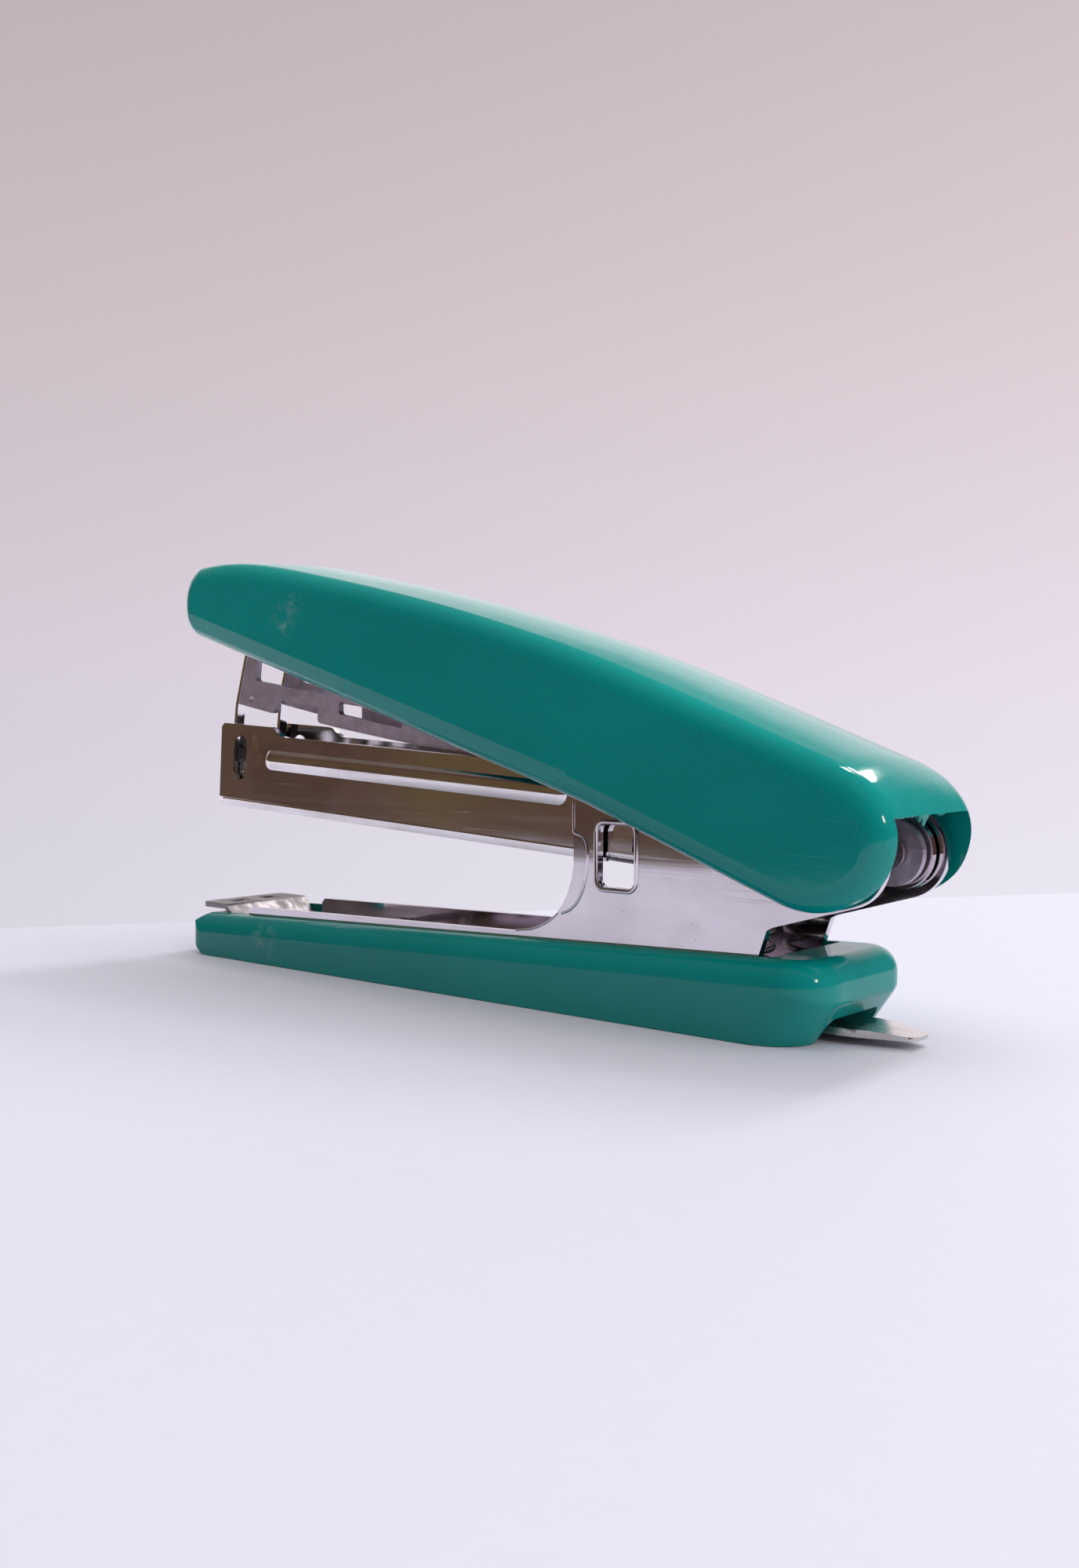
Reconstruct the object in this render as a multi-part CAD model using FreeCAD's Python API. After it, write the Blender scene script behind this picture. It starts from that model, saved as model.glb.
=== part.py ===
# Mini desk stapler for small staples, as separate solids, one STEP file for each piece.
# Units are millimetres. +Z is up, the handle's thumb end points along -X and the hinge is at +X.
# The origin is the centre of the flat underside of the base. Y = 0 is the plane of symmetry.
import FreeCAD
import Part
import math
import os

Vec = FreeCAD.Vector

# Hinge axis, parallel to Y
PIVOT_X = 44.6
PIVOT_Z = 17.0
PIVOT_PIN_R = 1.25
PIVOT_CLEARANCE = 0.05

# How far the front ends are raised at rest, in degrees
MAGAZINE_TILT = 3.2
BLADE_LEAN = 7.4

# Half widths across Y, from the outside in
HANDLE_HALF_W = 9.3
HANDLE_INNER_HALF_W = 7.4
COVER_HALF_W = 9.2
FRAME_HALF_W = 6.35
MAGAZINE_HALF_W = 5.15
STRIP_HALF_W = 4.2
ARM_HALF_W = 4.0
RAIL_HALF_W = 3.2

# Sheet thicknesses
FRAME_T = 0.8
MAGAZINE_T = 0.7
MAGAZINE_FLOOR_T = 0.6
ARM_T = 0.8
BLADE_T = 0.5
RAIL_T = 0.5

# Base cover
COVER_FRONT = -44.6
COVER_REAR = 44.1
COVER_TOP_Z = 6.4
COVER_TOP_SLOPE = 0.033
COVER_CORNER_R = 4.2
COVER_TOP_R = 2.4
POCKET_FRONT = -41.4
POCKET_REAR = 37.9
FRAME_FLOOR_Z = 2.2

# Magazine, in its own level frame with the hinge axis at 0, 0 and the front at -X
MAG_FRONT = -88.0
MAG_BOTTOM = -3.5
MAG_TOP = 5.65
MAG_EAR_TOP = 6.75
MAG_CORNER_R = 1.0
FRONT_PLATE_T = 0.4
STRIP_FRONT = -86.3
STAPLE_PITCH = 0.51
STAPLE_COUNT = 50
STAPLE_WIRE = 0.5
CROWN_TOP = 2.0
RAIL_TOP = 1.45
ROD_R = 0.65
ROD_Z = 3.4
PUSHER_FRONT = STRIP_FRONT + STAPLE_PITCH * STAPLE_COUNT + 0.3
PUSHER_LENGTH = 8.0

# Lift leaf, from the hinge axis, with its gap under the arm's web
LEAF_X0 = -17.6
LEAF_X1 = -9.0
LEAF_GAP = 0.35
LEAF_T = 0.5

# Driver arm: the top of its side view, front and rear, and the screws through its web
ARM_TOP = ((-37.8, 41.4), (37.6, 23.7))
SCREW_X = (-22.0, 14.0)
SCREW_R = 0.9
BOSS_R = 2.4

# Handle cover
HANDLE_WALL = 1.6
HANDLE_RIM_R = 2.4
CROWN_SAG = 1.0
THUMB_DISH_R = 70.0
THUMB_DISH_DEPTH = 0.55
BEVEL_DEPTH = 0.7
BEVEL_HEIGHT = 2.7

# Side view of the handle's top along its crown, from the thumb end to the rear, then the rest around it
HANDLE_TOP = [(-43.0, 48.5), (-37.2, 48.6), (-25.9, 47.0), (-12.7, 44.3), (-0.8, 41.5), (7.7, 39.2),
              (17.9, 36.1), (24.7, 33.7), (33.8, 30.3), (40.6, 27.7), (44.6, 26.2)]
HANDLE_NOSE = [(44.6, 26.2), (48.0, 24.2), (49.9, 21.8), (50.6, 19.3), (50.3, 17.2), (49.3, 15.2),
               (47.4, 13.6), (44.6, 12.4)]
HANDLE_HEEL = [(44.6, 12.4), (42.8, 12.1), (41.0, 12.15), (38.9, 12.7)]
HANDLE_KINK = (17.1, 20.8)
HANDLE_FRONT_LOW = (-43.9, 39.3)
HANDLE_FRONT = [(-43.9, 39.3), (-45.5, 40.9), (-46.0, 43.2), (-45.2, 46.6), (-43.0, 48.5)]


def save(shape, name):
    shape = shape.removeSplitter()
    shape.exportStep(os.path.join("parts", name + ".step"))


def box(x0, x1, y0, y1, z0, z1):
    return Part.makeBox(x1 - x0, y1 - y0, z1 - z0, Vec(x0, y0, z0))


def cross_cylinder(radius, x, z, y0, y1):
    """A cylinder that lies along Y."""
    return Part.makeCylinder(radius, y1 - y0, Vec(x, y0, z), Vec(0, 1, 0))


def side_face(points, y):
    """A flat polygon in the XZ plane at the given Y."""
    corners = [Vec(x, y, z) for x, z in points]
    return Part.Face(Part.makePolygon(corners + corners[:1]))


def prism(points, y0, y1):
    """A polygon in X and Z, pushed along Y from y0 to y1."""
    return side_face(points, y0).extrude(Vec(0, y1 - y0, 0))


def fuse_all(shapes):
    return shapes[0].multiFuse(shapes[1:])


def both_sides(shape):
    """The shape and its mirror image across Y = 0."""
    return [shape, shape.mirror(Vec(0, 0, 0), Vec(0, 1, 0))]


def rounded_prism(points, y0, y1, corner_radii):
    """A prism with chosen corners rounded. corner_radii maps a corner's index to its radius."""
    solid = prism(points, y0, y1)
    for index, radius in corner_radii.items():
        x, z = points[index]
        edges = [e for e in solid.Edges if runs_along_y(e, x, z)]
        solid = solid.makeFillet(radius, edges)
    return solid


def runs_along_y(edge, x, z):
    ends = [v.Point for v in edge.Vertexes]
    return len(ends) == 2 and all(abs(p.x - x) < 1e-3 and abs(p.z - z) < 1e-3 for p in ends)


def slot_along_y(x0, x1, z0, z1, radius, half_w):
    """A rounded rectangular cutter that passes right through both side walls."""
    corners = [(x0, z0), (x1, z0), (x1, z1), (x0, z1)]
    return rounded_prism(corners, -half_w, half_w, {0: radius, 1: radius, 2: radius, 3: radius})


def to_rest(shape):
    """Moves a shape from the magazine's level frame to where it sits at rest."""
    shape.rotate(Vec(0, 0, 0), Vec(0, 1, 0), MAGAZINE_TILT)
    shape.translate(Vec(PIVOT_X, 0, PIVOT_Z))
    return shape


def rest_point(x, z):
    """The rest position, in X and Z, of a point in the magazine's level frame."""
    p = FreeCAD.Rotation(Vec(0, 1, 0), MAGAZINE_TILT).multVec(Vec(x, 0, z))
    return (p.x + PIVOT_X, p.z + PIVOT_Z)


def cover_top(x):
    return COVER_TOP_Z + COVER_TOP_SLOPE * x


def helix_spring(coil_r, wire_r, length, turns, closed):
    """A coil spring that stands on Z = 0 along +Z, with closed end turns."""
    path = []
    steps = 10
    total = int(turns * steps)
    for i in range(total + 1):
        turn = i / steps
        angle = 2 * math.pi * turn
        rise = spring_rise(turn, turns, closed, 2.05 * wire_r, length - 2 * wire_r)
        path.append(Vec(coil_r * math.cos(angle), coil_r * math.sin(angle), wire_r + rise))
    curve = Part.BSplineCurve()
    curve.interpolate(path)
    start = curve.tangent(curve.FirstParameter)[0]
    ring = Part.Wire([Part.Circle(path[0], start, wire_r).toShape()])
    return Part.Wire([curve.toShape()]).makePipeShell([ring], True, True)


def spring_rise(turn, turns, closed, close_pitch, height):
    open_turns = turns - 2 * closed
    open_pitch = (height - 2 * closed * close_pitch) / open_turns
    if turn <= closed:
        return turn * close_pitch
    if turn <= turns - closed:
        return closed * close_pitch + (turn - closed) * open_pitch
    return height - (turns - turn) * close_pitch


# ---- Base ----

def base_cover():
    """Plastic shoe under the frame: a shallow wedge with a pocket for the frame's channel."""
    body = cover_outside()
    pocket = box(POCKET_FRONT, POCKET_REAR, -FRAME_HALF_W, FRAME_HALF_W, FRAME_FLOOR_Z, 20)
    body = body.cut(pocket)
    notch_side = [(30, -1), (50, -1), (50, 2.3), (30, 2.3)]
    notch = prism(notch_side, -4.9, 4.9)
    tops = [e for e in notch.Edges if abs(e.CenterOfMass.z - 2.3) < 1e-6 and abs(e.CenterOfMass.y) > 4.8]
    notch = notch.makeFillet(1.2, tops)
    body = body.cut(notch)
    for x in (-26.0, 2.0):
        body = body.cut(Part.makeCylinder(1.6, 10, Vec(x, 0, -5)))
        body = body.cut(Part.makeCylinder(2.6, 6, Vec(x, 0, -5)))
    body = body.cut(Part.makeCylinder(1.6, 10, Vec(26.0, 0, -5)))
    body = body.cut(box(21.0, 34.0, -3.3, 3.3, -1, FRAME_FLOOR_Z))
    return body


def cover_outside():
    """The cover's outer form, with a large round at the rear corners and along the top edge."""
    side = [(-41.9, 0), (41.4, 0), (COVER_REAR, 3.9), (COVER_REAR, cover_top(COVER_REAR)),
            (-42.4, cover_top(-42.4)), (COVER_FRONT, 3.4), (COVER_FRONT, 1.9)]
    body = rounded_prism(side, -COVER_HALF_W, COVER_HALF_W, {2: 1.3, 5: 0.7, 6: 0.9, 0: 2.0})
    rear = [e for e in body.Edges if on_cover_rear_corner(e)]
    body = body.makeFillet(COVER_CORNER_R, rear)
    top = [e for e in body.Edges if on_cover_top(e)]
    body = body.makeFillet(COVER_TOP_R, top)
    plan = Part.makeBox(COVER_REAR - COVER_FRONT, 2 * COVER_HALF_W, 20, Vec(COVER_FRONT, -COVER_HALF_W, -5))
    front = [e for e in plan.Edges if upright(e) and e.Vertexes[0].X < 0]
    return body.common(plan.makeFillet(2.2, front))


def on_cover_rear_corner(edge):
    """True for the rear edges of the two sides, from the underside up to the top."""
    c = edge.CenterOfMass
    low, high = sorted(v.Point.z for v in edge.Vertexes)
    return abs(abs(c.y) - COVER_HALF_W) < 1e-4 and c.x > 41.5 and high - low > 0.2


def on_cover_top(edge):
    c = edge.CenterOfMass
    return abs(c.z - cover_top(c.x)) < 0.02 and c.x > -42.3


def upright(edge):
    ends = [v.Point for v in edge.Vertexes]
    return len(ends) == 2 and abs(ends[0].x - ends[1].x) < 1e-6 and abs(ends[0].y - ends[1].y) < 1e-6


def frame_wall_outline():
    """Side view of one wall: low along the base, a round throat, then up to the hinge ear."""
    throat_x, throat_z, throat_r = 7.1, 14.85, 7.7
    points = [(-36.2, 3.0), (-36.2, 5.6), (-35.7, 6.1), (throat_x, 7.15)]
    for i in range(1, 13):
        a = math.radians(-90 + i * 7.5)
        points.append((throat_x + throat_r * math.cos(a), throat_z + throat_r * math.sin(a)))
    points += [(14.8, 20.9), (15.8, 21.7), (PIVOT_X - 1.0, 21.45)]
    for i in range(0, 21):
        a = math.radians(85 - i * 8.0)
        points.append((PIVOT_X + 4.5 * math.cos(a), PIVOT_Z + 4.5 * math.sin(a)))
    points += [(37.9, 10.35), (37.2, 10.0), (36.35, 7.6), (36.2, 3.0)]
    return points


def throat_bead_outline():
    """A thin crescent that stiffens the throat's edge."""
    outer = [(7.1 + 7.7 * math.cos(math.radians(a)), 14.85 + 7.7 * math.sin(math.radians(a)))
             for a in range(-44, 1, 4)]
    inner = [(14.8, 17.6), (15.5, 17.5), (16.1, 16.9), (16.4, 15.7), (16.3, 13.8), (15.8, 12.1), (15.1, 10.8),
             (14.2, 10.0), (13.2, 9.6)]
    return outer + inner


def base_frame():
    """Plated steel channel: floor, two walls with throat and window, and the hinge ears."""
    wall = prism(frame_wall_outline(), -FRAME_HALF_W, -FRAME_HALF_W + FRAME_T)
    bead = prism(throat_bead_outline(), -FRAME_HALF_W - 0.15, -FRAME_HALF_W + 0.1)
    solids = both_sides(wall) + both_sides(bead)
    solids.append(box(-38.6, 36.2, -FRAME_HALF_W, FRAME_HALF_W, FRAME_FLOOR_Z, FRAME_FLOOR_Z + FRAME_T))
    frame = fuse_all(solids)
    corners = [e for e in frame.Edges if along_x_at(e, FRAME_HALF_W, FRAME_FLOOR_Z)]
    frame = frame.makeFillet(0.7, corners)
    frame = frame.cut(slot_along_y(17.8, 22.2, 12.6, 18.8, 0.8, 10))
    frame = frame.cut(cross_cylinder(PIVOT_PIN_R, PIVOT_X, PIVOT_Z, -10, 10))
    for x in (-26.0, 2.0, 26.0):
        frame = frame.cut(Part.makeCylinder(1.1, 4, Vec(x, 0, 1)))
    return frame


def along_x_at(edge, y, z):
    c = edge.CenterOfMass
    ends = [v.Point for v in edge.Vertexes]
    if len(ends) != 2 or abs(ends[0].x - ends[1].x) <= 1:
        return False
    return abs(abs(c.y) - y) < 1e-4 and abs(c.z - z) < 1e-4


def anvil_plate():
    """Clinching plate: a raised front platform with two grooves, and a tail on the frame's floor."""
    top = 6.05
    floor_top = FRAME_FLOOR_Z + FRAME_T
    side = [(-45.4, top), (-40.5, top), (-38.0, floor_top + 0.6), (-28.0, floor_top + 0.6), (-28.0, floor_top),
            (-38.3, floor_top), (-40.8, top - 0.6), (-45.4, top - 0.6)]
    plate = rounded_prism(side, -6.4, 6.4, {1: 0.8, 5: 0.8, 2: 0.5, 6: 0.3})
    corners = [e for e in plate.Edges if upright(e) and e.Vertexes[0].X < -45.3]
    plate = plate.makeFillet(1.0, corners)
    between_walls = FRAME_HALF_W - FRAME_T - 0.05
    in_pocket = FRAME_HALF_W - 0.05
    for y0, y1 in ((-7, -between_walls), (between_walls, 7)):
        plate = plate.cut(box(-36.6, -27.0, y0, y1, 2.0, 4.6))
    for y0, y1 in ((-7, -in_pocket), (in_pocket, 7)):
        plate = plate.cut(box(-41.2, -27.0, y0, y1, 2.0, 5.1))
    for sign in (-1, 1):
        plate = plate.cut(clinch_groove(sign, top))
    return plate


def clinch_groove(sign, top):
    """A shallow trough that turns one staple leg inward."""
    return Part.makeCylinder(2.2, 1.5, Vec(-43.6, sign * 2.4, top + 1.85), Vec(1, 0, 0))


def cover_screw(x):
    """A small flat screw that holds the base cover to the frame from below."""
    shank = Part.makeCylinder(1.1, FRAME_FLOOR_Z + FRAME_T + 0.5, Vec(x, 0, 0.6))
    head = Part.makeCylinder(2.5, 0.4, Vec(x, 0, 0.3))
    cross = box(x - 1.7, x + 1.7, -0.25, 0.25, 0, 0.55)
    cross = cross.fuse(box(x - 0.25, x + 0.25, -1.7, 1.7, 0, 0.55))
    return fuse_all([shank, head]).cut(cross)


def staple_remover():
    """Flat steel tongue that sticks out of the rear of the base and narrows to a thin blunt tip."""
    half_w, tip_half_w, shoulder_x, tip_x = 3.2, 1.5, 44.0, 49.6
    plan = [Vec(21.4, -half_w, 0.7), Vec(shoulder_x, -half_w, 0.7), Vec(tip_x, -tip_half_w, 0.7),
            Vec(tip_x, tip_half_w, 0.7), Vec(shoulder_x, half_w, 0.7), Vec(21.4, half_w, 0.7)]
    blade = Part.Face(Part.makePolygon(plan + plan[:1])).extrude(Vec(0, 0, 0.7))
    shoulders = [e for e in blade.Edges if upright(e) and abs(e.Vertexes[0].X - shoulder_x) < 1e-3]
    blade = blade.makeFillet(4.0, shoulders)
    tip = [e for e in blade.Edges if upright(e) and e.Vertexes[0].X > tip_x - 0.1]
    blade = blade.makeFillet(0.9, tip)
    wedge = prism([(44.5, 1.5), (51, 1.5), (51, 0.85), (50.2, 1.0)], -4, 4)
    blade = blade.cut(wedge)
    return blade.cut(Part.makeCylinder(1.1, 4, Vec(26.0, 0, -1)))


def remover_rivet():
    """Rivet through the frame's floor and the remover."""
    shank = Part.makeCylinder(1.1, 3.1 - 0.7, Vec(26.0, 0, 0.7))
    spacer = Part.makeCylinder(1.5, FRAME_FLOOR_Z - 1.4, Vec(26.0, 0, 1.4))
    low_head = Part.makeCylinder(1.9, 0.4, Vec(26.0, 0, 0.3))
    return fuse_all([shank, spacer, low_head])


def pivot_rivet(sign):
    """Short hinge rivet through one frame ear, one magazine wall and one arm wall."""
    shank = cross_cylinder(PIVOT_PIN_R, PIVOT_X, PIVOT_Z, 2.75, FRAME_HALF_W + 0.4)
    head = cross_cylinder(2.2, PIVOT_X, PIVOT_Z, FRAME_HALF_W, FRAME_HALF_W + 0.5)
    head = head.makeFillet(0.3, [e for e in head.Edges if abs(e.CenterOfMass.y - FRAME_HALF_W - 0.5) < 1e-6])
    inner = cross_cylinder(1.6, PIVOT_X, PIVOT_Z, 2.45, 2.85)
    rivet = fuse_all([shank, head, inner])
    if sign < 0:
        rivet = rivet.mirror(Vec(0, 0, 0), Vec(0, 1, 0))
    return rivet


def return_spring():
    """Coil spring between the frame's floor and the magazine. It lifts the magazine."""
    spring = helix_spring(2.2, 0.3, 10.9, 7.5, 1.0)
    spring.translate(Vec(31.5, 0, FRAME_FLOOR_Z + FRAME_T))
    return spring


# ---- Magazine ----

def magazine_wall_outline():
    front_top = MAG_FRONT + 0.02
    points = [(MAG_FRONT, MAG_BOTTOM), (front_top, MAG_EAR_TOP - 0.5), (front_top + 0.5, MAG_EAR_TOP),
              (-78.6, MAG_EAR_TOP), (-77.9, 6.6), (-77.3, 6.1), (-76.6, 5.75), (-75.8, MAG_TOP),
              (-24.0, MAG_TOP), (-16.0, 4.6), (-6.0, 3.75)]
    for i in range(0, 22):
        a = math.radians(100 - i * 9.0)
        points.append((3.6 * math.cos(a), 3.6 * math.sin(a)))
    points += [(-4.0, MAG_BOTTOM)]
    return points


def magazine_channel():
    """Plated steel channel that holds the staples, with a stiffening rib on each side."""
    wall = prism(magazine_wall_outline(), -MAGAZINE_HALF_W, -MAGAZINE_HALF_W + MAGAZINE_T)
    rib = magazine_rib()
    tab = rounded_prism([(-25.6, -2.1), (-22.9, -2.1), (-22.9, -0.75), (-25.6, -0.75)],
                        -MAGAZINE_HALF_W - 0.75, -MAGAZINE_HALF_W + 0.1, {0: 0.6, 3: 0.6})
    floor = box(MAG_FRONT, -8.0, -MAGAZINE_HALF_W, MAGAZINE_HALF_W, MAG_BOTTOM, MAG_BOTTOM + MAGAZINE_FLOOR_T)
    around = box(MAG_FRONT - 1, 5, -MAGAZINE_HALF_W, MAGAZINE_HALF_W, MAG_BOTTOM, MAG_EAR_TOP + 1)
    corners = [e for e in around.Edges if along_x_at(e, MAGAZINE_HALF_W, MAG_BOTTOM)]
    folded = fuse_all(both_sides(wall) + [floor]).common(around.makeFillet(MAG_CORNER_R, corners))
    channel = fuse_all([folded] + both_sides(rib) + both_sides(tab))
    inner = MAGAZINE_HALF_W - MAGAZINE_T
    channel = channel.cut(box(MAG_FRONT - 1, STRIP_FRONT + 0.6, -inner, inner, MAG_BOTTOM - 1, MAG_BOTTOM + 1))
    channel = channel.cut(slot_along_y(-85.4, -83.0, -0.1, 5.4, 1.19, 10))
    channel = channel.cut(cross_cylinder(PIVOT_PIN_R + PIVOT_CLEARANCE, 0, 0, -10, 10))
    return to_rest(channel)


def magazine_rib():
    """Outward rib along one wall: a low arch in section, with domed round ends."""
    x0, x1, z, half_h, out = -79.4, -32.0, 2.75, 1.2, 0.42
    arch_r = (half_h ** 2 + out ** 2) / (2 * out)
    y = -MAGAZINE_HALF_W - out + arch_r
    start, end = x0 + half_h, x1 - half_h
    bar = Part.makeCylinder(arch_r, end - start, Vec(start, y, z), Vec(1, 0, 0))
    outside = box(x0 - 1, x1 + 1, -MAGAZINE_HALF_W - 1, -MAGAZINE_HALF_W, z - 2, z + 2)
    arch = fuse_all([bar, Part.makeSphere(arch_r, Vec(start, y, z)), Part.makeSphere(arch_r, Vec(end, y, z))])
    return arch.common(outside)


def front_guide():
    """Plate that closes the magazine's front and guides the driver blade."""
    inner = MAGAZINE_HALF_W - MAGAZINE_T
    plate = box(MAG_FRONT, MAG_FRONT + FRONT_PLATE_T, -inner, inner, MAG_BOTTOM, 6.2)
    window = rounded_prism([(-1.3, 2.0), (1.3, 2.0), (1.3, 5.2), (-1.3, 5.2)], 0, 2,
                           {0: 0.5, 1: 0.5, 2: 0.5, 3: 0.5})
    window.rotate(Vec(0, 0, 0), Vec(0, 0, 1), 90)
    window.translate(Vec(MAG_FRONT + 1, 0, 0))
    return to_rest(plate.cut(window))


def staple_rail():
    """Inverted channel that the staples sit astride."""
    x0, x1 = STRIP_FRONT + 0.05, -27.0
    bottom = MAG_BOTTOM + MAGAZINE_FLOOR_T
    rail = box(x0, x1, -RAIL_HALF_W, RAIL_HALF_W, bottom, RAIL_TOP)
    tops = [e for e in rail.Edges if along_x_at(e, RAIL_HALF_W, RAIL_TOP)]
    rail = rail.makeFillet(0.5, tops)
    inner = RAIL_HALF_W - RAIL_T
    rail = rail.cut(box(x0 + 0.6, x1 + 1, -inner, inner, bottom - 1, RAIL_TOP - RAIL_T))
    return to_rest(rail)


def staple_strip():
    """One strip of small wire staples, glued side by side."""
    low = MAG_BOTTOM + MAGAZINE_FLOOR_T + 0.1
    glue = STRIP_HALF_W - 0.04
    length = STAPLE_PITCH * STAPLE_COUNT
    solids = [staple_bar(STRIP_FRONT + 0.1, STRIP_FRONT + length - 0.1, glue, CROWN_TOP - 0.04, low + 0.1)]
    for i in range(STAPLE_COUNT):
        x = STRIP_FRONT + i * STAPLE_PITCH
        solids.append(staple_bar(x + 0.06, x + STAPLE_PITCH - 0.06, STRIP_HALF_W, CROWN_TOP, low))
    return to_rest(fuse_all(solids))


def staple_bar(x0, x1, half_w, top, low):
    """A square-edged staple of the given length along X."""
    outside = box(x0, x1, -half_w, half_w, low, top)
    inside_half = STRIP_HALF_W - STAPLE_WIRE
    inside = box(x0 - 1, x1 + 1, -inside_half, inside_half, low - 1, CROWN_TOP - STAPLE_WIRE)
    return outside.cut(inside)


def guide_rod():
    """Thin rod above the staples that carries the pusher and its spring."""
    rod = Part.makeCylinder(ROD_R, 84.6 - 19.6, Vec(-84.6, 0, ROD_Z), Vec(1, 0, 0))
    front = [e for e in rod.Edges if abs(e.CenterOfMass.x + 84.6) < 1e-6]
    rod = rod.makeFillet(0.4, front)
    head = Part.makeCylinder(1.2, 0.6, Vec(-19.6, 0, ROD_Z), Vec(1, 0, 0))
    return to_rest(rod.fuse(head))


def spring_seat():
    """Upright plate at the rear of the magazine that anchors the rod and the pusher's spring."""
    low = MAG_BOTTOM + MAGAZINE_FLOOR_T
    inner = MAGAZINE_HALF_W - MAGAZINE_T
    foot = box(-26.5, -20.6, -inner, inner, low, low + 0.6)
    wide = box(-21.2, -20.4, -inner, inner, low, 2.2)
    narrow = box(-21.2, -20.4, -2.4, 2.4, 1.0, 5.0)
    tops = [e for e in narrow.Edges if abs(e.CenterOfMass.z - 5.0) < 1e-6 and abs(e.CenterOfMass.y) > 2.3]
    narrow = narrow.makeFillet(1.4, tops)
    seat = fuse_all([foot, wide, narrow])
    hole = Part.makeCylinder(ROD_R, 4, Vec(-23, 0, ROD_Z), Vec(1, 0, 0))
    return to_rest(seat.cut(hole))


# ---- Pusher ----

def pusher():
    """Saddle that rides on the rail and pushes the staples forward."""
    x0, x1 = PUSHER_FRONT, PUSHER_FRONT + PUSHER_LENGTH
    low = MAG_BOTTOM + MAGAZINE_FLOOR_T + 0.3
    saddle = box(x0, x1, -4.1, 4.1, low, CROWN_TOP)
    saddle = saddle.makeFillet(0.4, [e for e in saddle.Edges if along_x_at(e, 4.1, CROWN_TOP)])
    saddle = saddle.cut(box(x0 - 1, x1 + 1, -RAIL_HALF_W - 0.3, RAIL_HALF_W + 0.3, low - 1, RAIL_TOP + 0.3))
    block = box(x0 + 1.5, x1, -2.2, 2.2, RAIL_TOP + 0.3, 5.0)
    tops = [e for e in block.Edges if abs(e.CenterOfMass.z - 5.0) < 1e-6 and e.Length > 4]
    block = block.makeFillet(1.0, tops)
    hole = Part.makeCylinder(ROD_R + 0.05, 20, Vec(x0 - 5, 0, ROD_Z), Vec(1, 0, 0))
    return to_rest(saddle.fuse(block).cut(hole))


def pusher_spring():
    """Long coil spring on the guide rod, between the pusher and the spring seat."""
    x0 = PUSHER_FRONT + PUSHER_LENGTH
    spring = helix_spring(1.3, 0.22, -21.2 - x0, 21.0, 1.5)
    spring.rotate(Vec(0, 0, 0), Vec(0, 1, 0), 90)
    spring.translate(Vec(x0, 0, ROD_Z))
    return to_rest(spring)


# ---- Lift leaf ----

def web_under(x):
    """Height of the underside of the arm's top web, in part coordinates."""
    front, rear = ARM_TOP
    slope = (rear[1] - front[1]) / (rear[0] - front[0])
    return front[1] + slope * (x - front[0]) - ARM_T / math.cos(math.atan(slope))


def lift_leaf():
    """Steel leaf under the arm's web. It is pressed down with the handle and lifts it again."""
    x0 = PIVOT_X + LEAF_X0
    x1 = PIVOT_X + LEAF_X1
    top0, top1 = web_under(x0) - LEAF_GAP, web_under(x1) - LEAF_GAP
    side = [(x0, top0), (x1, top1), (x1, top1 - LEAF_T), (x0, top0 - LEAF_T)]
    leaf = prism(side, -2.6, 2.6)
    corners = [e for e in leaf.Edges if e.Length < 0.7 and abs(abs(e.CenterOfMass.y) - 2.6) < 1e-6]
    return leaf.makeFillet(0.8, corners)


def handle_spring():
    """Coil spring between the magazine's floor and the lift leaf."""
    x = -13.3
    foot_x, foot_z = rest_point(x, MAG_BOTTOM + MAGAZINE_FLOOR_T)
    leaf_z = web_under(foot_x + 0.6) - LEAF_GAP - LEAF_T
    spring = helix_spring(1.9, 0.28, leaf_z - foot_z - 0.3, 6.5, 1.0)
    spring.rotate(Vec(0, 0, 0), Vec(0, 1, 0), MAGAZINE_TILT)
    spring.translate(Vec(foot_x, 0, foot_z + 0.02))
    return spring


# ---- Handle ----

def spline_edge(points, y):
    curve = Part.BSplineCurve()
    curve.interpolate([Vec(x, y, z) for x, z in points])
    return curve.toShape()


def line_edge(a, b, y):
    return Part.makeLine(Vec(a[0], y, a[1]), Vec(b[0], y, b[1]))


def handle_section(y, sag):
    """Closed side outline of the handle at one Y, its top lowered by sag."""
    top = [(x, z - sag) for x, z in HANDLE_TOP]
    nose = [(x, z - sag * max(0.0, (z - 19.0) / 7.2)) for x, z in HANDLE_NOSE]
    front = [(x, z - sag * max(0.0, (z - 43.2) / 5.3)) for x, z in HANDLE_FRONT]
    edges = [spline_edge(top, y), spline_edge(nose, y), spline_edge(HANDLE_HEEL, y),
             line_edge(HANDLE_HEEL[-1], HANDLE_KINK, y), line_edge(HANDLE_KINK, HANDLE_FRONT_LOW, y),
             spline_edge(front, y)]
    return Part.Wire(edges)


def handle_outside():
    sections = [handle_section(-HANDLE_HALF_W, CROWN_SAG), handle_section(0, 0),
                handle_section(HANDLE_HALF_W, CROWN_SAG)]
    body = Part.makeLoft(sections, True, False)
    rim = [e for e in body.Edges if on_side_rim(e)]
    return body.makeFillet(HANDLE_RIM_R, rim)


def on_side_rim(edge):
    """True for the side outline's front, top and nose edges, which are rounded."""
    c = edge.CenterOfMass
    if abs(abs(c.y) - HANDLE_HALF_W) > 1e-3:
        return False
    ends = [v.Point for v in edge.Vertexes]
    if any(abs(p.x - HANDLE_KINK[0]) < 1e-3 for p in ends):
        return False
    return not (c.z < 12.6 and c.x > 38)


def inset(points, depth_x, depth_z):
    return [(x + depth_x, z + depth_z) for x, z in points]


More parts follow.
